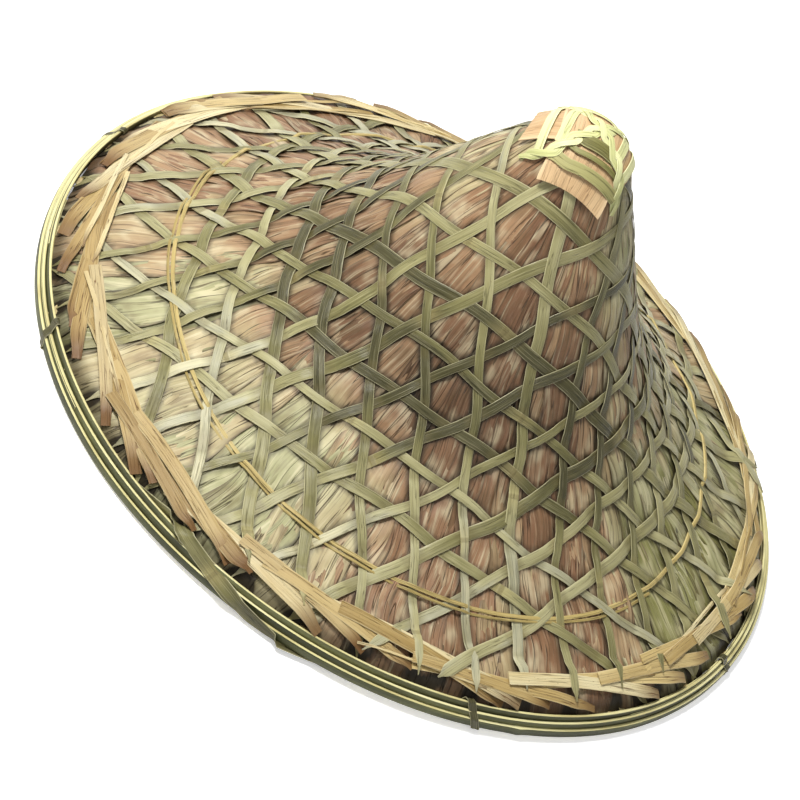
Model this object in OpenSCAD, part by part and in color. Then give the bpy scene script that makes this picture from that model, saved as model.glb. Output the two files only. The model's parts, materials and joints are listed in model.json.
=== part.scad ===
// Conical hat of split bamboo woven over sheath leaves.
// The origin is the centre of the plane that the rim rests on, and +Z runs up to the point of the crown.
// The hat is a sandwich. From inside to outside it is an inner weave, two courses of leaves and an outer
// weave, closed at the edge by rim hoops. Every layer follows one reference surface, the middle of the
// outer weave, and lies at its own height along that surface's normal.

/* [Hat] */
// Radius of the hat over the rim wraps
hat_r = 225; // [220:1:235]
// Height of the brim's edge above the resting plane
rim_h = 14; // [13:1:15]
// Slope of the crown's straight side, in degrees from level
crown_slope = 61; // [60:0.5:62]
// Slope of the brim at the rim, in degrees from level
brim_slope = 22.5; // [22:0.5:23]
// Radius of the rounded point of the crown
tip_r = 32; // [31:0.5:34]

/* [Outer weave] */
// Width of a strip
strip_w = 6; // [4:0.2:6.2]
// Thickness of a strip
strip_t = 0.4; // [0.3:0.05:0.45]
// Rise of a strip from the middle of the weave to its crossings
strip_rise = 1.1; // [1.05:0.05:1.2]
// Strips in each of the four sets
outer_strips = 8; // [2:1:9]
// Rows that would fit between the point and the rim
outer_rows = 10; // [10:1:11]

/* [Inner weave] */
// Strips in each of the four sets
inner_strips = 6; // [2:1:6]
// Rows that would fit between the point and the rim
inner_rows = 7; // [7:1:8]

/* [Leaves] */
// Thickness of a leaf
leaf_t = 0.6; // [0.4:0.1:0.6]
// Overlap of neighbouring leaves, in degrees
leaf_overlap = 6; // [2:1:10]

/* [Rim] */
// Thickness of a rim hoop
hoop_t = 2.6; // [2:0.1:2.7]
// Thickness of a rim wrap
wrap_t = 0.8; // [0.5:0.1:1]
// Width of a rim wrap
wrap_w = 7; // [4:1:12]
// Number of rim wraps
wrap_count = 8; // [4:4:16]
// Direction of the first wrap, in degrees from +X
wrap_start = -102; // [-135:1:-90]

/* [Brim] */
// Radius of the hoop that runs through the brim's weave, as a share of the hat's radius
brim_hoop_share = 0.762; // [0.7:0.01:0.82]
// Diameter of that hoop
brim_hoop_d = 3.2; // [2:0.2:4]
// Width of a brim band
band_w = 9; // [7:0.5:9]
// Thickness of a brim band
band_t = 0.6; // [0.4:0.1:0.8]

/* [Cap] */
// Width of a cap sheath
sheath_w = 38; // [24:1:40]
// Diameter of the cap lacing
lacing_d = 3; // [2:0.5:3.5]

/* [Head ring and chin cord] */
// Inner radius of the head ring
ring_r = 90; // [86:1:91]
// Height of the ring's straight wall
ring_h = 13; // [12:1:14]
// Diameter of the chin cord
cord_d = 4; // [3:0.5:4]
// Angle of the stowed cord below level
cord_stow = 18; // [18:0.5:19]

/* [Hidden] */
$fn = 96;

// Colours
strip_green = "#929c70";
leaf_brown = "#a67f63";
leaf_cream = "#c9b48f";
straw = "#d9c083";
hoop_green = "#6d7450";
sheath_tan = "#cf9f6a";
band_olive = "#8b8a55";
lacing_green = "#cdcf8f";
ring_straw = "#c9ab6b";
cord_red = "#c6506a";

// Reference surface: a rounded point, a straight cone, a hollow sweep and a straight brim, end to end.
// It is described by the distance s from the point, measured along the surface.
cone_end_r = 0.33 * hat_r;
sweep_end_r = 0.88 * hat_r;
sweep_r = (sweep_end_r - cone_end_r) / (sin(crown_slope) - sin(brim_slope));
tip_end_r = tip_r * sin(crown_slope);
arc = PI / 180;
s_tip = tip_r * crown_slope * arc;
s_cone = s_tip + (cone_end_r - tip_end_r) / cos(crown_slope);
s_sweep = s_cone + sweep_r * (crown_slope - brim_slope) * arc;
drop_tip = tip_r * (1 - cos(crown_slope));
drop_cone = drop_tip + (s_cone - s_tip) * sin(crown_slope);
drop_sweep = drop_cone + sweep_r * (cos(brim_slope) - cos(crown_slope));
s_rim = s_sweep + (hat_r - sweep_end_r) / cos(brim_slope);
point_z = rim_h + drop_sweep + (s_rim - s_sweep) * sin(brim_slope);

// Slope of the surface below level at s, in degrees
function slope(s) =
    s < s_tip ? s / tip_r / arc :
    s < s_cone ? crown_slope :
    s < s_sweep ? crown_slope - (s - s_cone) / sweep_r / arc :
    brim_slope;

// Radius of the surface at s
function radius(s) =
    s < s_tip ? tip_r * sin(slope(s)) :
    s < s_cone ? tip_end_r + (s - s_tip) * cos(crown_slope) :
    s < s_sweep ? cone_end_r + sweep_r * (sin(crown_slope) - sin(slope(s))) :
    sweep_end_r + (s - s_sweep) * cos(brim_slope);

// Drop of the surface below the point at s
function drop(s) =
    s < s_tip ? tip_r * (1 - cos(slope(s))) :
    s < s_cone ? drop_tip + (s - s_tip) * sin(crown_slope) :
    s < s_sweep ? drop_cone + sweep_r * (cos(slope(s)) - cos(crown_slope)) :
    drop_sweep + (s - s_sweep) * sin(brim_slope);

// Distance s at which the surface has the radius r
function s_at(r) =
    r < tip_end_r ? asin(r / tip_r) * arc * tip_r :
    r < cone_end_r ? s_tip + (r - tip_end_r) / cos(crown_slope) :
    r < sweep_end_r ? s_cone + sweep_r * arc
        * (crown_slope - asin(sin(crown_slope) - (r - cone_end_r) / sweep_r)) :
    s_sweep + (r - sweep_end_r) / cos(brim_slope);

// Point of a meridian, as [radius, height], at a lift above the surface
function meridian(s, lift) = [
    radius(s) + lift * sin(slope(s)),
    point_z - drop(s) + lift * cos(slope(s))
];

// Distances at which an outline has a corner: the straight parts need none
tip_steps = 6;
sweep_steps = 8;
corners = concat(
    [for (i = [1 : tip_steps]) s_tip * i / tip_steps],
    [for (i = [0 : sweep_steps]) s_cone + (s_sweep - s_cone) * i / sweep_steps]
);
function stations(from, to) = concat([from], [for (s = corners) if (s > from + 1 && s < to - 1) s], [to]);

// Outline of a skin between two distances and two lifts
function skin_outline(from, to, low, high) =
    let (places = stations(from, to), last = len(places) - 1)
    concat(
        [for (s = places) meridian(s, low)],
        [for (i = [last : -1 : 0]) meridian(places[i], high)]
    );

// Heights of the layers above the reference surface
weave_top = strip_rise + strip_t / 2;
weave_gap = 1;
leaf_gap = 0.6;
leaf_high = -weave_top - weave_gap;
leaf_low = leaf_high - leaf_t - leaf_gap;
inner_lift = leaf_low - leaf_t - weave_gap - weave_top;
lay_gap = 0.5;

// Rim hoops, from the outside inwards, each standing higher than the one outside it
hoop_gap = 0.5;
wrap_gap = 0.2;
hoop_out_r = hat_r - wrap_t - wrap_gap;
hoop_z = wrap_t + wrap_gap;
function hoop_r(i) = hoop_out_r - i * (hoop_t + hoop_gap);
rim_inner_r = hoop_r(2) - hoop_t;
edge_r = rim_inner_r - wrap_gap - wrap_t - 0.7;
s_edge = s_at(edge_r);

// Flat map of the surface. It keeps angles, and opens the whole turn of the hat into four sectors of
// 60 degrees, so that straight strips in the map cross everywhere at 60 degrees on the hat.
// map_table pairs the logarithm of a map radius, 0 at the rim, with the distance s.
sets = 4;
map_open = sets / 6;
map_steps = 240;
map_start = 6;
map_ds = (s_rim - map_start) / map_steps;
map_table = [
    for (
        i = 0, s = s_rim, log = 0;
        i <= map_steps;
        log = log - map_open * map_ds / radius(s - map_ds / 2), s = s - map_ds, i = i + 1
    ) [log, s]
];
map_edge = exp(-map_open * ln(hat_r / edge_r) / cos(brim_slope));

// Place on the hat of a point of the map, in the sector whose middle points along +X
function on_hat(across, along, lift) =
    let (
        turn = atan2(along, across) / map_open,
        m = meridian(lookup(ln(norm([across, along])), map_table), lift)
    )
    [m[0] * cos(turn), m[0] * sin(turn), m[1]];

// Normal of the surface at a point of the map
function normal_at(across, along) =
    let (
        turn = atan2(along, across) / map_open,
        tilt = slope(lookup(ln(norm([across, along])), map_table))
    )
    [sin(tilt) * cos(turn), sin(tilt) * sin(turn), cos(tilt)];

// Four corners of a strip's section
function strip_section(across, along, lift) =
    let (
        centre = on_hat(across, along, lift),
        step = 0.002,
        run = on_hat(across, along + step, lift) - on_hat(across, along - step, lift),
        up = normal_at(across, along) * strip_t / 2,
        side_way = cross(up, run),
        side = side_way / norm(side_way) * strip_w / 2
    )
    [centre - side - up, centre + side - up, centre + side + up, centre - side + up];

// Extra sections between two crossings, where the crown is sharp
function cuts(rho) = rho < 0.11 ? 4 : rho < 0.26 ? 2 : 1;

// One strip of a weave: it passes over and under in turn, with a section at each crossing
module strip(row, rows, lift) {
    pitch = 1 / (rows + 0.5);
    across = (row + 0.5) * pitch;
    half_step = pitch / sqrt(3);
    end = sqrt(map_edge * map_edge - across * across);
    last = floor(end / half_step - 0.6);
    inside = [
        for (i = [-last - 1 : last])
            let (n = i == last ? 1 : cuts(norm([across, (i + 1) * half_step])))
            for (k = [0 : n - 1]) (i + 0.5 + k / n) * half_step
    ];
    places = concat([-end], inside, [end]);
    sections = [
        for (along = places)
            strip_section(across, along, lift + strip_rise * cos(180 * (along / half_step - row - 1.5)))
    ];
    count = len(sections);
    walls = [
        for (i = [0 : count - 2], c = [0 : 3])
            [4 * i + c, 4 * i + (c + 1) % 4, 4 * i + 4 + (c + 1) % 4, 4 * i + 4 + c]
    ];
    ends = [[3, 2, 1, 0], [4 * count - 4, 4 * count - 3, 4 * count - 2, 4 * count - 1]];
    polyhedron([for (s = sections) each s], concat(walls, ends));
}

// One of the four sets of a weave
module weave_set(quarter, strips, rows, lift, shade) {
    color(shade)
        rotate(quarter)
            for (row = [0 : strips - 1])
                strip(row, rows, lift);
}

module outer_weave(quarter) {
    weave_set(quarter, outer_strips, outer_rows, 0, strip_green);
}

module inner_weave(quarter) {
    weave_set(quarter, inner_strips, inner_rows, inner_lift, straw);
}

// A leaf runs from under the cap to the rim. Odd leaves lie above even ones.
leaf_count = 12;
module leaf(number) {
    top = number % 2 == 1 ? leaf_high : leaf_low;
    sweep = 360 / leaf_count + leaf_overlap;
    color(number % 2 == 1 ? leaf_brown : leaf_cream)
        rotate(-90 + (number - 1) * 360 / leaf_count - sweep / 2)
            rotate_extrude(angle = sweep)
                polygon(skin_outline(s_at(tip_r / 2), s_edge, top - leaf_t, top));
}

hoop_step = 2;
function hoop_top(i) = rim_h - 3 + i * hoop_step;
module rim_hoop(number) {
    color(hoop_green)
        rotate_extrude()
            translate([hoop_r(number) - hoop_t, hoop_z])
                square([hoop_t, hoop_top(number) - hoop_z]);
}

// Outline around the three hoops, whose tops step down outwards, at a distance g from them
module hoop_bundle(g) {
    crest = hoop_r(2) + g / 2;
    polygon([
        [rim_inner_r - g, hoop_z - g], [hoop_out_r + g, hoop_z - g],
        [hoop_out_r + g, hoop_top(0) + g], [crest, hoop_top(2) + g], [rim_inner_r - g, hoop_top(2) + g]
    ]);
}

module rim_wraps() {
    sweep = wrap_w / hat_r / arc;
    color(strip_green)
        for (i = [0 : wrap_count - 1])
            rotate(wrap_start + i * 360 / wrap_count - sweep / 2)
                rotate_extrude(angle = sweep)
                    difference() {
                        hoop_bundle(wrap_gap + wrap_t);
                        hoop_bundle(wrap_gap);
                    }
}

module brim_hoop() {
    at = meridian(s_at(brim_hoop_share * hat_r), weave_top + lay_gap + brim_hoop_d / 2);
    color(straw)
        rotate_extrude()
            translate(at)
                circle(d = brim_hoop_d);
}

// A band covers band_w of the brim, number 0 being nearest the rim. The middle one lies on the others.
module brim_band(number) {
    outer = s_edge - number * band_w * 2 / 3;
    low = weave_top + lay_gap + (number == 1 ? band_t + lay_gap : 0);
    color(straw)
        rotate_extrude()
            polygon(skin_outline(outer - band_w, outer, low, low + band_t));
}

// A sheath is a strip of the cap's skin, crossing the point from one side to the other
cap_front = -82; // direction of the front sheath
sheath_t = 0.6;
sheath_run = 46;
sheath_tail = 30;
sheath_low = weave_top + lay_gap;
sheath_high = sheath_low + sheath_t + lay_gap;
module cap_sheath(low, run, tail) {
    reach_in = meridian(tail, 0)[0];
    reach_out = meridian(run, 0)[0];
    color(sheath_tan)
        intersection() {
            rotate_extrude()
                polygon(skin_outline(0, run + 10, low, low + sheath_t));
            translate([-reach_in, -sheath_w / 2, 0])
                cube([reach_in + reach_out, sheath_w, point_z + 20]);
        }
}

module cap_sheath_side() {
    rotate(cap_front - 90)
        cap_sheath(sheath_low, sheath_run - 2, sheath_tail);
}

module cap_sheath_front() {
    rotate(cap_front)
        cap_sheath(sheath_high, sheath_run, sheath_tail);
}

// A short bowed band over the front sheath
cap_lift = sheath_high + sheath_t + lay_gap;
cap_band_sweep = 150;
module cap_band() {
    color(band_olive)
        rotate(cap_front - cap_band_sweep / 2)
            rotate_extrude(angle = cap_band_sweep)
                polygon(skin_outline(s_tip + 5, s_tip + 17, cap_lift, cap_lift + sheath_t));
}

// Two cords over the point, the second on top of the first, and a ring around their ends
module cap_lacing() {
    bend_r = tip_r + cap_lift + lacing_d / 2;
    reach = crown_slope - 16;
    ring_tilt = crown_slope - 8;
    color(lacing_green)
        translate([0, 0, point_z - tip_r]) {
            for (i = [0, 1])
                rotate([90, 0, cap_front + 135 + 90 * i])
                    rotate(90 - reach)
                        rotate_extrude(angle = 2 * reach)
                            translate([bend_r + i * (lacing_d + lay_gap), 0])
                                circle(d = lacing_d);
            rotate_extrude()
                translate([bend_r * sin(ring_tilt), bend_r * cos(ring_tilt)])
                    circle(d = lacing_d);
        }
}

// Head ring: a straight wall that opens outwards into a lip, where it is lashed to the inner weave
ring_t = 2.4;
ring_z = 64;
lip_h = 7;
lip_out = 7;
lip_z = ring_z + ring_h;
module ring_outline() {
    polygon([
        [ring_r, ring_z], [ring_r + ring_t, ring_z], [ring_r + ring_t, lip_z],
        [ring_r + ring_t + lip_out, lip_z + lip_h], [ring_r + lip_out, lip_z + lip_h], [ring_r, lip_z]
    ]);
}

// A lashing is a closed loop over the ring's lip, through a slot in it
lashing_count = 8;
lashing_t = 0.7;
lashing_w = 5;
lashing_gap = 0.35;
lashing_in = ring_r + 1.5 + lashing_t;
lashing_out = ring_r + ring_t + lip_out + lashing_gap;
lashing_low = lip_z + lip_h / 2;
lashing_high = lip_z + lip_h + lashing_gap;
module lashing_frame() {
    difference() {
        translate([lashing_in - lashing_t, lashing_low - lashing_t])
            square([lashing_out - lashing_in + 2 * lashing_t, lashing_high - lashing_low + 2 * lashing_t]);
        translate([lashing_in, lashing_low])
            square([lashing_out - lashing_in, lashing_high - lashing_low]);
    }
}

// Places its children's outline around the ring, once for each lashing
module around_lashings(width) {
    sweep = width / ring_r / arc;
    for (i = [0 : lashing_count - 1])
        rotate((i + 0.5) * 360 / lashing_count - sweep / 2)
            rotate_extrude(angle = sweep)
                children();
}

module ring_lashings() {
    color(lacing_green)
        around_lashings(lashing_w)
            lashing_frame();
}

// Chin cord: a loop whose two eyes turn on pegs at the sides of the ring
peg_r = 2;
peg_clearance = 0.05;
peg_head_r = 4.5;
peg_head_t = 1.6;
cord_gap = 0.4;
cord_x = ring_r + ring_t + cord_gap + cord_d / 2;
cord_leg = 110;
eye_d = 0.85 * cord_d;
eye_r = peg_r + cord_gap + eye_d / 2;
pivot_z = ring_z + ring_h / 2;

module head_ring() {
    color(ring_straw)
        difference() {
            rotate_extrude()
                ring_outline();
            around_lashings(lashing_w + 2 * lashing_gap)
                translate([ring_r + 1, lashing_low - lashing_t - lashing_gap])
                    square([ring_t + lip_out, lashing_t + 2 * lashing_gap]);
            for (side = [0, 180])
                rotate(side)
                    translate([ring_r - ring_t, 0, pivot_z])
                        rotate([0, 90, 0])
                            cylinder(r = peg_r + peg_clearance, h = 3 * ring_t);
        }
}

module cord_peg(side) {
    stem = cord_x + cord_d / 2 + cord_gap - ring_r - ring_t / 4;
    color(ring_straw)
        rotate(side)
            translate([ring_r + ring_t / 4, 0, pivot_z])
                rotate([0, 90, 0])
                    union() {
                        cylinder(r = peg_r, h = stem + peg_head_t);
                        translate([0, 0, stem])
                            cylinder(r = peg_head_r, h = peg_head_t);
                    }
}

module chin_cord() {
    color(cord_red)
        translate([0, 0, pivot_z])
            rotate([cord_stow, 0, 0])
                union() {
                    for (side = [-1, 1])
                        translate([side * cord_x, 0, 0]) {
                            rotate([0, 90, 0])
                                rotate_extrude()
                                    translate([eye_r, 0])
                                        circle(d = eye_d);
                            translate([0, -eye_r, 0])
                                rotate([90, 0, 0])
                                    cylinder(d = cord_d, h = cord_leg - eye_r);
                        }
                    translate([0, -cord_leg, 0])
                        rotate(180)
                            rotate_extrude(angle = 180)
                                translate([cord_x, 0])
                                    circle(d = cord_d);
                }
}

outer_weave(-90);  // outer_weave_front
outer_weave(0);  // outer_weave_right
outer_weave(90);  // outer_weave_back
outer_weave(180);  // outer_weave_left
inner_weave(-45);  // inner_weave_front
inner_weave(45);  // inner_weave_right
inner_weave(135);  // inner_weave_back
inner_weave(225);  // inner_weave_left
leaf(1);  // leaf_01
leaf(2);  // leaf_02
leaf(3);  // leaf_03
leaf(4);  // leaf_04
leaf(5);  // leaf_05
leaf(6);  // leaf_06
leaf(7);  // leaf_07
leaf(8);  // leaf_08
leaf(9);  // leaf_09
leaf(10);  // leaf_10
leaf(11);  // leaf_11
leaf(12);  // leaf_12
rim_hoop(0);  // rim_hoop_outer
rim_hoop(1);  // rim_hoop_middle
rim_hoop(2);  // rim_hoop_inner
rim_wraps();
brim_hoop();
brim_band(2);  // brim_band_inner
brim_band(1);  // brim_band_middle
brim_band(0);  // brim_band_outer
cap_sheath_side();
cap_sheath_front();
cap_band();
cap_lacing();
head_ring();
ring_lashings();
cord_peg(180);  // cord_peg_left
cord_peg(0);  // cord_peg_right
chin_cord();
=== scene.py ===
"""The looks of the conical hat: its weaves, leaves, brim bands, rim, cap, head ring and chin cord.

The hat is a surface of revolution, so every piece is laid on it by three numbers: s, the distance from
the point along the surface, turn, the direction around the axis, and lift, the height above the surface.
Lengths are in millimetres until a mesh is made.
"""

import json
import math

import bpy
import numpy as np
from mathutils import Matrix, Vector


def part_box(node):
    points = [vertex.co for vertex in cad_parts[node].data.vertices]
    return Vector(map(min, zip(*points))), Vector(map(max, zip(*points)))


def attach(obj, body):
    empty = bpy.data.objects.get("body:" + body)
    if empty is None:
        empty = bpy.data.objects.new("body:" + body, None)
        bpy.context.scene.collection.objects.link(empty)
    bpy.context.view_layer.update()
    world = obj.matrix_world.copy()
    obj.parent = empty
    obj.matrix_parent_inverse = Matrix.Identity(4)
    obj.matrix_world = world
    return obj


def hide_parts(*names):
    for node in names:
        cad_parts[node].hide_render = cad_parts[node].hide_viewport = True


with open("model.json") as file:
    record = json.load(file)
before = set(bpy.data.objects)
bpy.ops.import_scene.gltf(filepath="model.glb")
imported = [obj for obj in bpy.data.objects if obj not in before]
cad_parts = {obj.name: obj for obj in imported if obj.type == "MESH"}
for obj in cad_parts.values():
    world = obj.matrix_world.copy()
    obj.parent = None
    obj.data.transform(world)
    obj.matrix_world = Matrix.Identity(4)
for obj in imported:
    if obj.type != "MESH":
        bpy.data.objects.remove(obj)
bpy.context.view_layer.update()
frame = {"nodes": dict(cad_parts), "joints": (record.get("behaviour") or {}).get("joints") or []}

MM = 0.001
TAU = 2 * math.pi


def top_of(node):
    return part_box(node)[1] / MM


def foot_of(node):
    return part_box(node)[0] / MM


# ---------------------------------------------------------------- sizes, from the frame and the design
# The rim and the reference surface. The ends of the cone and of the hollow sweep are shares of the radius.
RIM_WRAP = 1.0
HAT_R = top_of("rim_hoop_outer").x + RIM_WRAP
RIM_H = top_of("rim_hoop_outer").z + 3.0
HOOP_TOP = top_of("rim_hoop_inner").z
HOOP_FOOT = foot_of("rim_hoop_outer").z
CROWN_SLOPE = math.radians(61)
BRIM_SLOPE = math.radians(22.5)
TIP_R = 32.0
CONE_END = 0.33
SWEEP_END = 0.88

# The flat map: its angles are MAP_OPEN of those around the hat, and the rim's radius in it is 1
SECTORS = 4
MAP_OPEN = SECTORS / 6

# Outer weave: each quarter has STRIPS strips, 1 / STRIP_ROWS apart in the map, with a section every SAMPLE
QUARTERS = {"front": -90, "right": 0, "back": 90, "left": 180}
STRIPS = 8
STRIP_ROWS = 10.5
STRIP_W = 6.3
STRIP_T = 0.5
STRIP_RISE = 0.68
SAMPLE = 2.4

# Inner weave: lower, and coarser
INNER_STRIPS = 6
INNER_ROWS = 7.5
INNER_LIFT = -6.3
INNER_RISE = 0.6

# Leaves: blades LEAF_PITCH degrees apart, and how far they and the strips reach past the CAD leaves' edge
LEAF_PITCH = 10
LEAF_START_R = 14
LEAF_LIFT = -1.05
LEAF_T = 0.3
EDGE_R = top_of("leaf_04").x
EDGE_REACH = 8.2

# Brim, rim and lashings: counts, the thin hoop's share of the radius, and the rim knot's direction in degrees
BAND_COUNT = 46
BRIM_HOOP_SHARE = 0.735
WRAP_COUNT = 8
KNOT_AT = 311
LASHING_COUNT = 8

# Directions of the cap's two sheaths, in degrees
FRONT, SIDE = -78, -176

# A hat made by hand is a little oval, its brim waves, and its crown leans
OVAL = 0.022
OVAL_AT = -0.09
SADDLE = 3.4
SADDLE_AT = 0.25
LEAN = (-3.0, -8.0)


class Surface:
    """The reference surface: a rounded point, a straight cone, a hollow sweep and a straight brim."""

    def __init__(self):
        sweep_r = HAT_R * (SWEEP_END - CONE_END) / (math.sin(CROWN_SLOPE) - math.sin(BRIM_SLOPE))
        tip = TIP_R * CROWN_SLOPE
        cone = tip + (HAT_R * CONE_END - TIP_R * math.sin(CROWN_SLOPE)) / math.cos(CROWN_SLOPE)
        sweep = cone + sweep_r * (CROWN_SLOPE - BRIM_SLOPE)
        self.rim = sweep + HAT_R * (1 - SWEEP_END) / math.cos(BRIM_SLOPE)
        self.s = np.linspace(0, self.rim + 12, 6000)
        corners = [0, tip, cone, sweep, self.rim + 12]
        slopes = [0, CROWN_SLOPE, CROWN_SLOPE, BRIM_SLOPE, BRIM_SLOPE]
        self.slope = np.interp(self.s, corners, slopes)
        self.r = self.summed(np.cos(self.slope))
        drop = self.summed(np.sin(self.slope))
        self.z = RIM_H + np.interp(self.rim, self.s, drop) - drop
        log = MAP_OPEN * self.summed(1 / np.maximum(self.r, 0.5))
        self.log = log - np.interp(self.rim, self.s, log)

    def summed(self, values):
        steps = (values[1:] + values[:-1]) / 2 * np.diff(self.s)
        return np.concatenate([[0], np.cumsum(steps)])

    def s_at(self, r):
        return np.interp(r, self.r, self.s)

    def place(self, s, turn, lift):
        """Points of the hat, as an array of rows x, y, z."""
        tilt = np.interp(s, self.s, self.slope)
        r = np.interp(s, self.s, self.r) + lift * np.sin(tilt)
        z = np.interp(s, self.s, self.z) + lift * np.cos(tilt)
        return np.stack([r * np.cos(turn), r * np.sin(turn), z], -1)

    def normal(self, s, turn):
        tilt = np.interp(s, self.s, self.slope)
        return np.stack([np.sin(tilt) * np.cos(turn), np.sin(tilt) * np.sin(turn), np.cos(tilt)], -1)

    def from_map(self, across, along):
        """The flat map keeps angles, so straight strips in it cross at 60 degrees on the hat."""
        s = np.interp(np.log(np.hypot(across, along)), self.log, self.s)
        return s, np.arctan2(along, across) / MAP_OPEN

    def map_radius(self, r):
        return math.exp(np.interp(self.s_at(r), self.s, self.log))


hat = Surface()


def hand_made(points):
    """Moves points of the exact hat to their places on the uneven one. The rim still stands on the floor."""
    x, y, z = points.T
    r, turn = np.hypot(x, y), np.arctan2(y, x)
    share = (r / HAT_R) ** 2
    rise = -SADDLE * np.cos(2 * (turn - SADDLE_AT)) * share
    z = z + np.where(rise < 0, rise * smooth(0, RIM_H, z), rise)
    r = r * (1 + OVAL * np.cos(2 * (turn - OVAL_AT)) * share)
    height = (z - RIM_H) / 200
    return np.stack([r * np.cos(turn) + LEAN[0] * height, r * np.sin(turn) + LEAN[1] * height, z], -1)


def unit(v):
    return v / np.maximum(np.linalg.norm(v, axis=-1, keepdims=True), 1e-9)


def smooth(low, high, x):
    t = np.clip((x - low) / (high - low), 0, 1)
    return t * t * (3 - 2 * t)


def wave(x, lengths, strength, seed):
    """A smooth wandering line: a few sines of the given lengths with seeded phases, between -1 and 1."""
    phases = np.random.default_rng(seed).uniform(0, TAU, len(lengths))
    total = sum(np.sin(x * TAU / length + phase) for length, phase in zip(lengths, phases))
    return strength * total / len(lengths)


# ---------------------------------------------------------------- mesh building
# Section of a strip: share of its half width, share of its half thickness
SECTION = np.array([
    (-1, 0.1), (-0.93, 0.9), (-0.5, 1.12), (0, 1.2), (0.5, 1.12), (0.93, 0.9), (1, 0.1),
    (0.93, -0.9), (0, -1), (-0.93, -0.9),
])


class Sheaf:
    """Ribbons, sheets and cords gathered into one mesh, with the numbers its material reads at each point.

    along and across are millimetres from a strip's start and middle, and edge is 1 at its edges. tone is one
    number for a whole strip, tint shifts its colour (on the woven strips it also holds painted light and
    shade), the layer after it darkens it with real dirt and with painted shade, and top is 1 above and -1
    below.
    """

    LAYERS = ("along", "across", "edge", "tone", "tint", "dirt", "top")

    def __init__(self):
        self.points = []
        self.faces = []
        self.layers = {name: [] for name in self.LAYERS}
        self.count = 0

    def add(self, points, faces, **layers):
        self.points.append(points.reshape(-1, 3))
        self.faces.extend((np.asarray(faces) + self.count).tolist())
        size = len(self.points[-1])
        for name in self.LAYERS:
            values = np.broadcast_to(np.asarray(layers.get(name, 0.0), float), (size,))
            self.layers[name].append(values)
        self.count += size

    def ribbon(self, centres, sides, width, thick=STRIP_T, tone=0.5, tint=0.0, dirt=0.0, section=SECTION):
        """A strip along centres. sides points across it, and width may change along it."""
        count, ring = len(centres), len(section)
        run = unit(np.gradient(centres, axis=0))
        sides = unit(sides - run * np.sum(sides * run, -1, keepdims=True))
        ups = np.cross(run, sides)
        width = np.broadcast_to(width, (count,))
        thick = np.broadcast_to(thick, (count,))
        a, b = section[:, 0], section[:, 1]
        points = (
            centres[:, None]
            + sides[:, None] * (a[None] * width[:, None] / 2)[..., None]
            + ups[:, None] * (b[None] * thick[:, None] / 2)[..., None]
        )
        along = np.concatenate([[0], np.cumsum(np.linalg.norm(np.diff(centres, axis=0), axis=1))])
        i, c = np.meshgrid(np.arange(count - 1), np.arange(ring), indexing="ij")
        n = (c + 1) % ring
        quads = np.stack([i * ring + c, i * ring + ring + c, i * ring + ring + n, i * ring + n], -1)
        self.add(
            points, quads.reshape(-1, 4),
            along=np.repeat(along, ring), across=(a[None] * width[:, None] / 2).ravel(),
            edge=np.tile(np.abs(a), count), tone=tone,
            tint=np.repeat(np.broadcast_to(tint, (count,)), ring),
            dirt=np.repeat(np.broadcast_to(dirt, (count,)), ring), top=np.tile(b, count),
        )
        first = self.count - count * ring
        self.faces.append([first + k for k in range(ring)])
        self.faces.append([self.count - 1 - k for k in range(ring)])

    def cord(self, centres, radius, tone=0.5, corners=10):
        """A round cord along centres."""
        turns = -np.arange(corners) * TAU / corners
        section = np.stack([-np.cos(turns), np.sin(-turns)], -1)
        run = unit(np.gradient(centres, axis=0))
        helper = np.array([0.31, 0.17, 0.93])
        side = unit(np.cross(np.broadcast_to(helper, run.shape), run))
        self.ribbon(centres, side, 2 * radius, 2 * radius, tone, section=section)

    def sheet(self, grid, thick, **layers):
        """A thin closed sheet whose top is grid, rows by columns of points. layers have grid's shape."""
        rows, columns = grid.shape[:2]
        normals = unit(np.cross(np.gradient(grid, axis=0), np.gradient(grid, axis=1)))
        points = np.concatenate([grid.reshape(-1, 3), (grid - normals * thick).reshape(-1, 3)])
        i, c = np.meshgrid(np.arange(rows - 1), np.arange(columns - 1), indexing="ij")
        a = (i * columns + c).ravel()
        top = np.stack([a, a + columns, a + columns + 1, a + 1], -1)
        under = rows * columns + top[:, ::-1]
        rim = np.concatenate([
            np.arange(columns), np.arange(1, rows) * columns + columns - 1,
            (rows - 1) * columns + np.arange(columns - 2, -1, -1), np.arange(rows - 2, 0, -1) * columns,
        ])
        after = np.roll(rim, -1)
        wall = np.stack([rim, after, after + rows * columns, rim + rows * columns], -1)
        doubled = {name: np.tile(np.broadcast_to(values, (rows, columns)).ravel(), 2)
                   for name, values in layers.items()}
        self.add(points, np.concatenate([top, under, wall]), **doubled)

    def piece(self, name, material, body="hat", replaces=(), slot=None, crease=40, uneven=True):
        """Makes the mesh, puts it under its body's empty and hides the CAD parts it replaces."""
        mesh = bpy.data.meshes.new(name)
        points = np.concatenate(self.points)
        points = hand_made(points) if uneven else points
        mesh.from_pydata((points * MM).tolist(), [], self.faces)
        for layer, values in self.layers.items():
            attribute = mesh.attributes.new(layer, "FLOAT", "POINT")
            attribute.data.foreach_set("value", np.concatenate(values).astype(np.float32))
        mesh.shade_smooth()
        mesh.set_sharp_from_angle(angle=math.radians(crease))
        mesh.materials.append(material)
        made = bpy.data.objects.new(name, mesh)
        bpy.context.scene.collection.objects.link(made)
        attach(made, body)
        if replaces:
            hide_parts(*replaces)
        return made


# ---------------------------------------------------------------- materials
def shade(code):
    """A colour written as #rrggbb, as Blender's linear red, green, blue, alpha."""
    values = [int(code[i:i + 2], 16) / 255 for i in (1, 3, 5)]
    return tuple(v / 12.92 if v <= 0.04045 else ((v + 0.055) / 1.055) ** 2.4 for v in values) + (1.0,)


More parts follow.
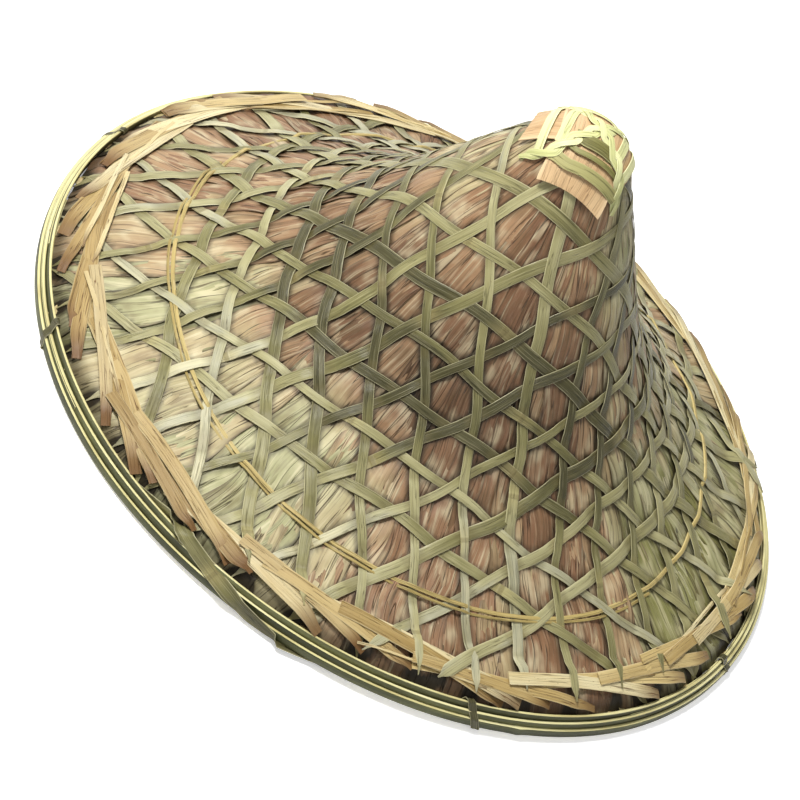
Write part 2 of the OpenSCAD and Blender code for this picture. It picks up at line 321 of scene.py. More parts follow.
class Paint:
    """Writes the nodes of one material."""

    def __init__(self, name):
        self.material = bpy.data.materials.new(name)
        self.material.use_nodes = True
        self.tree = self.material.node_tree
        self.shader = self.tree.nodes["Principled BSDF"]

    def node(self, kind, **inputs):
        made = self.tree.nodes.new(kind)
        for name, value in inputs.items():
            self.feed(made.inputs[name.replace("_", " ")], value)
        return made

    def feed(self, socket, value):
        if isinstance(value, bpy.types.NodeSocket):
            self.tree.links.new(value, socket)
        else:
            socket.default_value = value

    def layer(self, name):
        made = self.tree.nodes.new("ShaderNodeAttribute")
        made.attribute_name = name
        return made.outputs["Fac"]

    def math(self, operation, a, b=0.0, c=0.0, clamp=False):
        made = self.tree.nodes.new("ShaderNodeMath")
        made.operation = operation
        made.use_clamp = clamp
        for socket, value in zip(made.inputs, (a, b, c)):
            self.feed(socket, value)
        return made.outputs[0]

    def step(self, value, low, high):
        made = self.node("ShaderNodeMapRange", Value=value, From_Min=low, From_Max=high)
        made.interpolation_type = "SMOOTHSTEP"
        return made.outputs["Result"]

    def vector(self, x, y=0.0, z=0.0):
        return self.node("ShaderNodeCombineXYZ", X=x, Y=y, Z=z).outputs[0]

    def noise(self, vector, scale=1.0, detail=3.0, roughness=0.55):
        made = self.node("ShaderNodeTexNoise", Vector=vector, Scale=scale, Detail=detail, Roughness=roughness)
        return made.outputs["Fac"]

    def grain(self, along, across, spread, long_rate, cross_rate, detail=3.0, roughness=0.55):
        """Noise stretched along the fibre. The rates are bumps for each millimetre along and across."""
        x = self.math("MULTIPLY", along, long_rate)
        y = self.math("MULTIPLY", across, cross_rate)
        return self.noise(self.vector(x, y, spread), detail=detail, roughness=roughness)

    def slits(self, along, across, spread, long_rate, cross_rate, wide):
        """Thin cracks that run with the fibre."""
        field = self.grain(along, across, spread, long_rate, cross_rate, 2.0)
        return self.step(self.math("ABSOLUTE", self.math("SUBTRACT", field, 0.5)), wide, 0.0)

    def ramp(self, value, stops):
        made = self.node("ShaderNodeValToRGB", Fac=value)
        points = made.color_ramp.elements
        while len(points) < len(stops):
            points.new(0.5)
        for point, (place, code) in zip(points, stops):
            point.position = place
            point.color = shade(code)
        return made.outputs["Color"]

    def mix(self, share, a, b, mode="MIX"):
        made = self.tree.nodes.new("ShaderNodeMix")
        made.data_type = "RGBA"
        made.blend_type = mode
        self.feed(made.inputs["Factor"], share)
        for name, value in (("A", a), ("B", b)):
            socket = next(s for s in made.inputs if s.name == name and s.type == "RGBA")
            self.feed(socket, shade(value) if isinstance(value, str) else value)
        return next(s for s in made.outputs if s.type == "RGBA")

    def finish(self, colour, roughness, height, depth):
        self.feed(self.shader.inputs["Base Color"], colour)
        self.feed(self.shader.inputs["Roughness"], roughness)
        self.shader.inputs["Specular IOR Level"].default_value = 0.35
        relief = self.node("ShaderNodeBump", Strength=1.0, Distance=depth * MM, Height=height)
        self.feed(self.shader.inputs["Normal"], relief.outputs[0])
        return self.material


def strip_paint(name, stops, flesh, dirt, joints=0.0, gloss=0.45, specks=0.35, split=0.5):
    """Split bamboo: streaks along the fibre, pale cut edges, blotches, and the cane's joints now and then."""
    paint = Paint(name)
    along, across = paint.layer("along"), paint.layer("across")
    tone, tint = paint.layer("tone"), paint.layer("tint")
    spread = paint.math("MULTIPLY", tone, 61.0)
    fibre = paint.grain(along, across, spread, 0.035, 2.4, 4.0, 0.62)
    patch = paint.grain(along, across, paint.math("ADD", spread, 7.0), 0.022, 0.11)
    slit = paint.slits(along, across, paint.math("ADD", spread, 3.0), 0.012, 0.45, 0.012)
    shift = paint.math("MULTIPLY_ADD", patch, 0.9, -0.45)
    shift = paint.math("ADD", paint.math("ADD", tone, tint), shift)
    colour = paint.ramp(shift, stops)
    colour = paint.mix(paint.math("MULTIPLY", paint.step(fibre, 0.5, 0.75), 0.35), colour, flesh)
    colour = paint.mix(paint.math("MULTIPLY", paint.step(fibre, 0.48, 0.28), 0.4), colour, dirt, "MULTIPLY")
    colour = paint.mix(paint.math("MULTIPLY", slit, split), colour, dirt, "MULTIPLY")
    speck = paint.grain(along, across, spread, 0.5, 1.3, 2.0)
    colour = paint.mix(paint.math("MULTIPLY", paint.step(speck, 0.66, 0.76), specks), colour, dirt)
    edge = paint.math("MULTIPLY", paint.step(paint.layer("edge"), 0.85, 1.0), 0.6)
    colour = paint.mix(edge, colour, flesh)
    # The layer read here darkens the strip with real dirt, and with painted shade: where a strip passes under
    # another and dips inside the rim, and on the bands at the brim's front left.
    colour = paint.mix(paint.math("MULTIPLY", paint.layer("dirt"), 0.8, clamp=True), colour, dirt)
    height = paint.math("SUBTRACT", fibre, slit)
    if joints:
        place = paint.math("ADD", paint.math("DIVIDE", along, joints), paint.math("MULTIPLY", tone, 9.0))
        away = paint.math("ABSOLUTE", paint.math("SUBTRACT", paint.math("FRACT", place), 0.5))
        ring = paint.step(away, 0.008, 0.003)
        colour = paint.mix(paint.math("MULTIPLY", paint.step(away, 0.05, 0.0), 0.25), colour, "#bfae74")
        colour = paint.mix(paint.math("MULTIPLY", ring, 0.4), colour, "#6f6440")
        height = paint.math("ADD", height, ring)
    rough = paint.math("MULTIPLY_ADD", fibre, 0.25, gloss - 0.1)
    return paint.finish(colour, rough, height, 0.22)


LEAF_TINTS = [
    (0.0, "#7b583e"), (0.18, "#957151"), (0.36, "#a98966"),
    (0.55, "#b5a67c"), (0.75, "#aeab80"), (1.0, "#84824c"),
]


def leaf_paint():
    """Dry sheath leaf: fine ribs along the leaf, cracks, and tints from pinkish brown through cream to olive.

    The leaf is painted darker beside the strips and where it goes under the bands: painted shade.
    """
    paint = Paint("leaf")
    along, across = paint.layer("along"), paint.layer("across")
    tone, tint = paint.layer("tone"), paint.layer("tint")
    spread = paint.math("MULTIPLY", tone, 83.0)
    rib = paint.grain(along, across, spread, 0.018, 0.5, 5.0, 0.6)
    fine = paint.grain(along, across, spread, 0.11, 3.6, 3.0, 0.6)
    patch = paint.grain(along, across, spread, 0.03, 0.05)
    cloud = paint.grain(along, across, paint.math("ADD", spread, 5.0), 0.045, 0.08, 2.0)
    slit = paint.slits(along, across, spread, 0.006, 0.2, 0.01)
    shift = paint.math("ADD", tint, paint.math("MULTIPLY_ADD", patch, 0.36, -0.18))
    colour = paint.ramp(shift, LEAF_TINTS)
    colour = paint.mix(paint.math("MULTIPLY", paint.step(cloud, 0.5, 0.72), 0.45), colour, "#e2d8b0")
    colour = paint.mix(paint.math("MULTIPLY", paint.step(cloud, 0.5, 0.28), 0.5), colour, "#6a5538")
    colour = paint.mix(paint.math("MULTIPLY", paint.step(rib, 0.52, 0.72), 0.5), colour, "#e0d6b0")
    colour = paint.mix(paint.math("MULTIPLY", paint.step(rib, 0.48, 0.3), 0.55), colour, "#4c3e26")
    colour = paint.mix(paint.math("MULTIPLY", paint.step(fine, 0.55, 0.8), 0.2), colour, "#efe5c6")
    colour = paint.mix(paint.math("MULTIPLY", slit, 0.75), colour, "#3a2c1e")
    edge = paint.math("MULTIPLY", paint.step(paint.layer("edge"), 0.93, 1.0), 0.5)
    colour = paint.mix(edge, colour, "#5b452f")
    # Painted shade, from the values that leaf_shadow makes.
    colour = paint.mix(paint.math("MULTIPLY", paint.layer("dirt"), 0.85, clamp=True), colour, "#2b2416")
    height = paint.math("MULTIPLY_ADD", rib, 0.7, paint.math("MULTIPLY", fine, 0.3))
    return paint.finish(colour, 0.5, paint.math("SUBTRACT", height, slit), 0.6)


def hoop_paint():
    """Rim hoop: green skin on its outer face, cream flesh on its edges and inside."""
    paint = Paint("rim_hoop")
    along, across, tone = paint.layer("along"), paint.layer("across"), paint.layer("tone")
    spread = paint.math("MULTIPLY", tone, 31.0)
    fibre = paint.grain(along, across, spread, 0.02, 1.2, 4.0, 0.6)
    patch = paint.grain(along, across, spread, 0.012, 0.1, 2.0)
    skin = paint.ramp(patch, [(0.3, "#30321e"), (0.5, "#4b4d2f"), (0.7, "#717248")])
    skin = paint.mix(paint.math("MULTIPLY", paint.step(fibre, 0.5, 0.75), 0.25), skin, "#85855c")
    flesh = paint.ramp(fibre, [(0.25, "#b5a66c"), (0.5, "#d9d197"), (0.75, "#e9e2b2")])
    skin_share = paint.math(
        "MULTIPLY", paint.step(paint.layer("top"), 0.0, 0.6), paint.step(paint.layer("edge"), 0.98, 0.93)
    )
    inside = paint.step(paint.layer("top"), -0.5, -0.8)
    flesh = paint.mix(paint.math("MULTIPLY", inside, 0.7), flesh, "#857747")
    colour = paint.mix(skin_share, flesh, skin)
    knot = paint.layer("tint")
    colour = paint.mix(paint.math("MULTIPLY", knot, 0.85), colour, "#4a3a26")
    return paint.finish(colour, 0.45, fibre, 0.3)


def cord_paint():
    """Braided cord: two sets of strands that wind both ways."""
    paint = Paint("chin_cord")
    along, across, top = paint.layer("along"), paint.layer("across"), paint.layer("top")
    around = paint.math("ARCTAN2", top, paint.math("DIVIDE", across, 2.0))
    along = paint.math("MULTIPLY", along, 3.0)
    around = paint.math("MULTIPLY", around, 4.0)
    one = paint.math("SINE", paint.math("ADD", along, around))
    two = paint.math("SINE", paint.math("SUBTRACT", along, around))
    weave = paint.math("MAXIMUM", one, two)
    # The one red dye is painted dark in the grooves between the strands and pale on their crowns: painted
    # shade and highlight.
    share = paint.math("MULTIPLY_ADD", weave, 0.5, 0.5)
    colour = paint.ramp(share, [(0.2, "#7d2438"), (0.6, "#c8506b"), (1.0, "#e58799")])
    return paint.finish(colour, 0.8, weave, 0.35)


GREEN_TONES = [
    (0.0, "#4c482b"), (0.12, "#66623c"), (0.28, "#7e794d"), (0.5, "#989265"),
    (0.7, "#aea87d"), (0.85, "#a9a68a"), (1.0, "#c6bf99"),
]
GREEN = strip_paint("green_strip", GREEN_TONES, "#d3cca2", "#665c38", joints=240.0, gloss=0.38)
STRAW_TONES = [(0.0, "#a3894f"), (0.35, "#c6ac6f"), (0.7, "#dcc78d"), (1.0, "#ece0b2")]
STRAW = strip_paint("straw_strip", STRAW_TONES, "#eadcae", "#6f4f2a", specks=0.6, split=0.9)
SPLINT_TONES = [(0.0, "#a08c52"), (0.5, "#b9a466"), (1.0, "#cdbb80")]
SPLINT = strip_paint("splint", SPLINT_TONES, "#d8c78e", "#5f4c2a", joints=260.0)
INNER_TONES = [(0.0, "#a58a58"), (0.5, "#bba676"), (1.0, "#aaa676")]
INNER = strip_paint("inner_strip", INNER_TONES, "#d6c797", "#6f583a", joints=230.0)
TAN_TONES = [(0.0, "#bc9567"), (0.5, "#ceae82"), (1.0, "#dcc296")]
TAN = strip_paint("cap_sheath", TAN_TONES, "#e8cfa4", "#8a6038", gloss=0.5)
OLIVE_TONES = [(0.0, "#77733f"), (0.5, "#98945a"), (1.0, "#b3ab74")]
OLIVE = strip_paint("cap_band", OLIVE_TONES, "#c9c48c", "#5c5836")
LACE_TONES = [(0.0, "#a9ad66"), (0.4, "#cfd08e"), (0.7, "#dfdfa4"), (1.0, "#eae8b6")]
LACE = strip_paint("lacing", LACE_TONES, "#efecc4", "#80803f")
LEAF = leaf_paint()
HOOP = hoop_paint()
CORD = cord_paint()


# ---------------------------------------------------------------- the two weaves
def strip_drift(seed, along):
    """How far a strip wanders from its straight line in the flat map."""
    slope = np.random.default_rng(seed).uniform(-0.005, 0.005)
    return wave(along, [0.9, 0.41, 0.23], 0.009, seed) + slope * np.abs(along)


def weave_strip(sheaf, sector, row, rows, base, rise, seed, shows_ends):
    """One strip: it passes over and under in turn along a straight line of the flat map.

    Where an outer strip passes under another, it lies in shadow.
    """
    own = np.random.default_rng(seed + 50000)
    pitch = 1 / rows
    half_step = pitch / math.sqrt(3)
    across = (row + 0.5) * pitch
    end = math.sqrt(hat.map_radius(EDGE_R + EDGE_REACH) ** 2 - across ** 2)
    along = fine_steps(across, end)
    s, turn = hat.from_map(across + strip_drift(seed, along), along)
    phase = along / half_step - row - 1.5
    upper = smooth(110, 60, np.interp(s, hat.s, hat.r))
    rise = rise * (1 - 0.55 * upper)
    lift = base - 0.1 * upper + rise * np.tanh(2.4 * np.cos(math.pi * phase)) / math.tanh(2.4)
    lift += wave(along, [0.31, 0.17], 0.15, seed + 1)
    turn = turn + sector
    width = STRIP_W * own.uniform(0.74, 1.18) * (1 + wave(along, [0.5, 0.2], 0.08, seed + 2))
    tone = own.uniform(0.1, 0.85)
    dirt = 0 * s
    if shows_ends:
        s, turn, lift, width, dirt = finish_ends(s, turn, lift, width, own)
        # Painted shade where the strip passes under another and where it dips inside the rim.
        dirt = np.maximum(dirt, 0.5 * smooth(-0.05, -0.6, lift))
    centres = hat.place(s, turn, lift)
    ahead = unit(np.gradient(hat.place(s, turn, lift * 0), axis=0))
    sides = np.cross(hat.normal(s, turn), ahead)
    sheaf.ribbon(centres, sides, width, STRIP_T, tone, strip_light_and_shade(s, turn), dirt)


def between_strips(s, turn):
    """How far points of the hat are from the nearest strip's middle line: in millimetres, and as a share of
    the way to the middle of the hole."""
    rho = np.exp(np.interp(s, hat.s, hat.log))
    nearest = np.full(np.shape(rho), 1.0)
    for number, degrees in enumerate(QUARTERS.values()):
        angle = ((turn - math.radians(degrees) + math.pi) % TAU - math.pi) * MAP_OPEN
        across, along = rho * np.cos(angle), rho * np.sin(angle)
        for row in range(STRIPS):
            line = (row + 0.5) / STRIP_ROWS + strip_drift(strip_seed(number, row), along)
            nearest = np.minimum(nearest, np.abs(across - line))
    scale = np.interp(s, hat.s, hat.r) / (rho * MAP_OPEN)
    return nearest * scale, nearest * 2 * STRIP_ROWS


def strip_seed(quarter, row):
    return 100 * quarter + 7 * row


def strip_light_and_shade(s, turn):
    """Painted light and shade: the strips are palest on the left of the brim and darkest low on the crown's
    front.
    """
    share = np.interp(s, hat.s, hat.r) / HAT_R
    left = 0.5 - 0.5 * np.cos(turn - math.radians(30))
    front = 0.5 + 0.5 * np.cos(turn + math.radians(85))
    # Painted light on the left of the brim, painted shade low on the crown's front and in its hollow.
    painted_light = 0.22 * left * smooth(0.56, 0.8, share)
    painted_shade = 0.15 * front * smooth(0.65, 0.45, share) + 0.5 * shaded(turn, share)
    return painted_light - painted_shade


def shaded(turn, share):
    """How near a place is to the middle of the dark hollow at the foot of the crown's front, where shade is
    painted.
    """
    return (0.5 + 0.5 * np.cos(turn + math.radians(85))) ** 1.5 * np.exp(-((share - 0.42) / 0.13) ** 2)


def fine_steps(across, end):
    """Map positions that are SAMPLE apart on the hat, along a strip from -end to end."""
    rough = np.linspace(-end, end, 4000)
    s, turn = hat.from_map(across, rough)
    points = hat.place(s, turn, 0 * s)
    run = np.concatenate([[0], np.cumsum(np.linalg.norm(np.diff(points, axis=0), axis=1))])
    count = int(run[-1] / SAMPLE)
    return np.interp(np.linspace(0, run[-1], count), run, rough)


def edge_dip(s):
    """The edge of the woven brim turns down inside the rim."""
    return 6.0 * smooth(hat.s_at(0.935 * HAT_R), hat.s_at(0.985 * HAT_R), s)


def finish_ends(s, turn, lift, width, own):
    """Each end either passes below the brim bands to the rim or lies over them with a pointed tip."""
    keep = np.ones(len(s), bool)
    middle = len(s) // 2
    sink = smooth(hat.s_at(0.855 * HAT_R), hat.s_at(0.885 * HAT_R), s)
    for half in (slice(0, middle), slice(middle, None)):
        tip = turn[0 if half.start == 0 else -1]
        over = own.uniform() < 0.3 + 0.3 * math.cos(tip)
        stop = HAT_R * own.uniform(0.93, 0.965) if over else EDGE_R + EDGE_REACH
        keep[half] = s[half] <= hat.s_at(stop)
        level = own.uniform(3.4, 4.4) if over else -0.5
        lift[half] = lift[half] * (1 - sink[half]) + level * sink[half]
        lift[half] -= edge_dip(s[half]) * (0.3 if over else 1)
    s, turn, lift, width = s[keep], turn[keep], lift[keep], width[keep]
    run = np.arange(len(s)) * SAMPLE
    left = np.minimum(run, run[-1] - run)
    width = width * (0.12 + 0.88 * smooth(0, own.uniform(8, 14), left))
    return s, turn, lift, width, 0.5 * smooth(9, 0, left)


def outer_weave():
    """Four sets of parallel strips, one for each quarter of the hat, that cross their neighbours."""
    for number, (name, degrees) in enumerate(QUARTERS.items()):
        sheaf = Sheaf()
        for row in range(STRIPS):
            seed = strip_seed(number, row)
            weave_strip(sheaf, math.radians(degrees), row, STRIP_ROWS, 0.1, STRIP_RISE, seed, True)
        sheaf.piece(f"outer_strips_{name}", GREEN, replaces=[f"outer_weave_{name}"], slot="green_strip")


def inner_weave():
    """The coarser weave inside the hat, half a quarter turned against the outer one."""
    for number, (name, degrees) in enumerate(QUARTERS.items()):
        sheaf = Sheaf()
        sector = math.radians(degrees + 45)
        for row in range(INNER_STRIPS):
            seed = 900 + strip_seed(number, row)
            weave_strip(sheaf, sector, row, INNER_ROWS, INNER_LIFT, INNER_RISE, seed, False)
        sheaf.piece(f"inner_strips_{name}", INNER, replaces=[f"inner_weave_{name}"], slot="inner_strip")


# ---------------------------------------------------------------- leaves
def leaf_tint(degrees, share):
    """Pinkish brown on the crown and at the back left, cream at the front left, olive on the right."""
    brim = np.interp(degrees % 360, [0, 20, 60, 100, 150, 190, 215, 272, 290, 325, 350],
                     [0.95, 0.85, 0.5, 0.3, 0.2, 0.35, 0.75, 0.72, 0.3, 0.25, 0.95])
    crown = np.interp(degrees % 360, [0, 60, 120, 180, 230, 300, 360], [0.5, 0.4, 0.2, 0.28, 0.2, 0.12, 0.5])
    crown = crown + 0.3 * math.cos(math.radians(degrees)) ** 2 * smooth(0.34, 0.22, share)
    return crown + (brim - crown) * smooth(0.42, 0.68, share)


def leaves():
    """Each leaf is three blades that fan out from the crown and lie over one another."""
    for number in range(1, 13):
        sheaf = Sheaf()
        for blade in range(3):
            middle = -90 + (number - 1) * 3 * LEAF_PITCH + (blade - 1) * LEAF_PITCH
            leaf_blade(sheaf, middle, number * 3 + blade)
        covered = f"leaf_{number:02d}"
        sheaf.piece(f"leaf_blades_{number:02d}", LEAF, replaces=[covered], slot="leaf", crease=60)


def leaf_blade(sheaf, middle, seed):
    """One blade, pressed down by the strips and bulging up a little in the holes of the weave."""
    own = np.random.default_rng(5000 + seed)
    rows, columns = 118, 27
    u = np.linspace(0, 1, rows)[:, None]
    v = np.linspace(-1, 1, columns)[None, :]
    first, last = hat.s_at(LEAF_START_R), hat.s_at(EDGE_R + EDGE_REACH - own.uniform(0, 1))
    s = first + u * (last - first) + 0 * v
    r = np.interp(s, hat.s, hat.r)
    half = math.radians(own.uniform(7.4, 9.0))
    lean = math.radians(own.uniform(-3, 3))
    sway = np.radians(wave(s, [140, 60], 1.0, 6000 + seed))
    turn = math.radians(middle + own.uniform(-1.2, 1.2)) + lean * (u - 0.6) + v * half + sway
    across = v * half * r
    layer = LEAF_LIFT - 0.3 * (seed % 3) + 0.2 * v * (1 if own.uniform() > 0.5 else -1)
    ridges = sum(
        np.sin(across * TAU / length + phase + 0.9 * np.sin(s * TAU / bend + phase * 3))
        for length, phase, bend in zip([3.1, 4.3, 6.7], own.uniform(0, TAU, 3), [70, 48, 95])
    )
    start, side_start = own.uniform(0, TAU), own.uniform(0, TAU)
    buckle = np.sin(s * TAU / 27 + start + 1.8 * np.sin(across * TAU / 24 + side_start))
    fade = smooth(20, 60, r)
    away, hole = between_strips(s, turn)
    bulge = smooth(0.12, 0.85, hole) * smooth(12, 30, r)
    lift = layer + fade * (0.15 * ridges + 0.3 * buckle) + 1.1 * bulge + 0.9 * smooth(100, 50, r)
    lift = lift + 0.5 * fade * smooth(0.82, 1.0, np.abs(v))
    lift = np.minimum(lift, -0.6 + 0.25 * smooth(110, 60, r) + 1.2 * bulge) - edge_dip(s)
    tint = leaf_tint(math.degrees(turn.mean()), r / HAT_R) + own.uniform(-0.2, 0.2)
    shadow = leaf_shadow(turn, r / HAT_R, away, np.abs(v))
    sheaf.sheet(hat.place(s, turn, lift), LEAF_T, along=s, across=across,
                edge=np.abs(v) + 0 * u, tone=own.uniform() + 0 * s, tint=tint, dirt=shadow)


def leaf_shadow(turn, share, away, edge):
    """A leaf is darker beside the strips, at its own edges, under the bands and in the front's hollow."""
    shadow = 0.75 * smooth(5.8, 2.9, away) + 0.3 * smooth(0.88, 1.0, edge)
    return shadow + 0.8 * smooth(0.92, 0.965, share) + 0.4 * shaded(turn, share)


# ---------------------------------------------------------------- brim
def brim_hoop():
    """A doubled splint that runs over and under the strips."""
    sheaf = Sheaf()
    radius = BRIM_HOOP_SHARE * HAT_R
    rho = hat.map_radius(radius)
    crossings = []
    for degrees in QUARTERS.values():
        for row in range(STRIPS):
            reach = math.acos((row + 0.5) / STRIP_ROWS / rho) / MAP_OPEN
            crossings += [(math.radians(degrees) + reach, 1.0), (math.radians(degrees) - reach, -1.0)]
    places = np.array(sorted((turn % TAU, sign) for turn, sign in crossings))
    turn = np.linspace(0, TAU * 1.08, 900) + math.radians(170)
    lift = np.interp(turn % TAU, places[:, 0], places[:, 1], period=TAU)
    wander = 6 * np.cos(turn + 0.9) + 3 * np.cos(2 * turn + 2.4) + wave(turn, [TAU / 3, TAU / 5], 1.5, 41)
    s = hat.s_at(radius) + wander
    lay_strip(sheaf, s, turn, 1.15 * lift + 0.4, 2.2, 1.1, 0.5)
    beside = s + 2.8 + wave(turn, [TAU / 7, TAU / 11], 0.8, 43)
    part = slice(0, 400)
    lay_strip(sheaf, beside[part], turn[part], 1.15 * lift[part] + 0.4, 1.5, 0.9, 0.1)
    sheaf.piece("brim_splints", SPLINT, replaces=["brim_hoop"], slot="straw_strip")


def lay_strip(sheaf, s, turn, lift, width, thick=0.6, tone=0.5, tint=0.0, dirt=0.0):
    """A ribbon laid flat on the hat along a path of s and turn."""
    path = hat.place(s, turn, lift + 0 * s)
    ahead = unit(np.gradient(hat.place(s, turn, 0 * s), axis=0))
    sheaf.ribbon(path, np.cross(hat.normal(s, turn), ahead), width, thick, tone, tint, dirt)


def lay_chord(sheaf, near, start, first, last, lift, width, own, blunt=0.25):
    """A straight strip on the brim, from the angle first to the angle last on either side of start.

    It comes nearest to the axis, near, at start, and its far end is cut slantwise. blunt is that end's width
    as a share of the strip's.
    """
    angle = np.radians(np.linspace(first, last, 60))
    q = np.linspace(0, 1, 60)
    point = (1 - blunt) * smooth(0.86, 1.0, q)
    r = near / np.cos(angle) + wave(q, [1.3, 0.7], 0.4, own.integers(1e6))
    r = r + 2.5 * np.cos(start + angle + 1.0) + own.choice([-0.5, 0.5]) * width * point
    s = hat.s_at(r)
    lift = lift + wave(q, [0.9, 0.4], 0.45, own.integers(1e6)) - 0.9 * edge_dip(s) - smooth(0.93, 1.0, q)
    # Each band has some dirt of its own and darkens towards its far end; shade is painted on the bands at the
    # brim's front left.
    dirt = 0.8 * smooth(0.78, 1.0, q) + own.uniform(0, 0.35) + 0.3 * max(0, -math.cos(start - 0.9))
    lay_strip(sheaf, s, start + angle, lift, width * (1 - point), 0.6, own.uniform(), dirt=dirt)


def brim_bands():
    """Straight straw strips that leave the inner border one after another and reach out to the rim."""
    sheaves = [Sheaf(), Sheaf(), Sheaf()]
    q = np.linspace(0, 1, 60)
    for number in range(BAND_COUNT):
        own = np.random.default_rng(300 + number)
        sheaf = sheaves[number % 3]
        start = TAU * number / BAND_COUNT + math.radians(own.uniform(-2.6, 2.6))
        near = HAT_R * own.uniform(0.866, 0.912)
        last = math.degrees(math.acos(near / (HAT_R * own.uniform(0.937, 0.962))))
        on_top = own.uniform() < 0.2 + 0.5 * max(0, math.cos(start + 0.8))
        lift = 4.0 - 1.8 * q if on_top else 1.2 + own.uniform(1.0, 2.2) * q
        first = -own.uniform(3, 7) if on_top else -own.uniform(7, 15)
        width = own.uniform(6.5, 10.5) * (1 - 0.35 * max(0, math.cos(start - 0.2)))
        lay_chord(sheaf, near, start, first, last, lift, width, own, own.uniform(0.35, 0.85))
        for _ in range(own.integers(0, 2)):
            beside, aside = near + own.uniform(-5, 3), start + math.radians(own.uniform(-5, 9))
            first, last = -own.uniform(8, 13), own.uniform(9, 16)
            lift, width = 1.0 + own.uniform(0, 2.6), own.uniform(1.2, 3.2)
            lay_chord(sheaf, beside, aside, first, last, lift, width, own)
    for name, sheaf in zip(("inner", "middle", "outer"), sheaves):
        sheaf.piece(f"band_strips_{name}", STRAW, replaces=[f"brim_band_{name}"], slot="straw_strip")


# ---------------------------------------------------------------- rim
# Section of a hoop on edge: share of its half height, share of its half thickness
HOOP_SECTION = np.array([
    (-1, -0.45), (-1, 0.45), (-0.97, 0.85), (-0.9, 1), (-0.4, 1.12), (0, 1.16), (0.4, 1.12), (0.9, 1),
    (0.97, 0.85), (1, 0.45), (1, -0.45), (0.97, -0.85), (0.9, -1), (0, -1), (-0.9, -1), (-0.97, -0.85),
])


def hoop(sheaf, r, top, sway, thick, seed, first=0, last=360, foot=None, knot=None):
    """A splint bent round on its edge, skin outwards. Its top edge rises and falls by sway."""
    turn = np.radians(np.linspace(first, last, int(last - first) + 1))
    foot = HOOP_FOOT + 0.2 if foot is None else foot
    top = top + wave(turn, [TAU, TAU / 2, TAU / 3], sway, seed)
    r = r + wave(turn, [TAU / 3, TAU / 5], 0.25, seed + 1)
    path = np.stack([r * np.cos(turn), r * np.sin(turn), (top + foot) / 2], -1)
    mark = 0 * turn if knot is None else np.exp(-((np.degrees(turn) - knot) / 0.9) ** 2)
    up = np.broadcast_to(np.array([0.0, 0.0, 1.0]), path.shape)
    sheaf.ribbon(path, up, top - foot, thick * (1 + 0.8 * mark), tone=(seed % 7) / 7, dirt=mark,
                 section=HOOP_SECTION)


def rim_hoops():
    """Three hoops on edge, each lower than the one inside it, with a few thin splints pushed in between."""
    inner, middle, outer = Sheaf(), Sheaf(), Sheaf()
    hoop(inner, HAT_R - 6.0, HOOP_TOP - 0.8, 0.8, 1.6, 500)
    hoop(inner, HAT_R - 7.3, HOOP_TOP - 2.6, 1.0, 0.7, 510, 190, 400, foot=6)
    hoop(middle, HAT_R - 3.9, HOOP_TOP - 4.6, 1.0, 1.9, 520)
    hoop(middle, HAT_R - 4.7, HOOP_TOP - 3.4, 0.8, 0.6, 530, 330, 560, foot=5)
    hoop(outer, HAT_R - 1.8, HOOP_TOP - 8.0, 1.5, 1.9, 551, knot=KNOT_AT)
    hoop(outer, HAT_R - 2.7, HOOP_TOP - 6.2, 1.5, 0.6, 541, 60, 230, foot=4)
    for name, sheaf in (("inner", inner), ("middle", middle), ("outer", outer)):
        sheaf.piece(f"rim_{name}", HOOP, replaces=[f"rim_hoop_{name}"], slot="rim_bamboo")


def rim_wraps():
    """Strips wound slantwise once around the hoops. One is wide, the others are narrow and dark."""
    sheaf = Sheaf()
    inner, outer, low, high = HAT_R - 8.1, HAT_R - 0.6, 0.4, HOOP_TOP + 0.7
    corners = np.array([
        (inner, low), (inner, high - 1), (inner + 1.2, high), (inner + 2.8, high - 0.4),
        (outer - 3, high - 5), (outer - 0.4, high - 8), (outer, high - 9), (outer, low), (inner, low),
    ])
    run = np.concatenate([[0], np.cumsum(np.linalg.norm(np.diff(corners, axis=0), axis=1))])
    for number in range(WRAP_COUNT):
        own = np.random.default_rng(600 + number)
        wide = number == 0
        q = np.linspace(0, 1, 90)
        r = np.interp(q * run[-1], run, corners[:, 0])
        z = np.interp(q * run[-1], run, corners[:, 1])
        slant = math.radians(46 if wide else own.uniform(2, 6))
        turn = math.radians(-101 + 360 / WRAP_COUNT * number + own.uniform(-1, 4)) + slant * (q - 0.5)
        path = np.stack([r * np.cos(turn), r * np.sin(turn), z], -1)
        around = np.stack([-np.sin(turn), np.cos(turn), 0 * turn], -1)
        width = 9.0 if wide else own.uniform(3.5, 5)
        sheaf.ribbon(path, around, width, 0.5, tone=0.12 if wide else 0.1, tint=0.0 if wide else -0.3)
    # The strips are pressed flat where the rim stands on the floor
    for points in sheaf.points:
        points[:, 2] = np.maximum(points[:, 2], 0.15)
    sheaf.piece("rim_wrap_strips", GREEN, replaces=["rim_wraps"], slot="green_strip")


# ---------------------------------------------------------------- cap
def on_cap(way, beside, degrees):
    """A place on the cap: way along the direction degrees from the axis, beside to its left."""
    return np.hypot(way, beside), np.arctan2(beside, way) + math.radians(degrees)


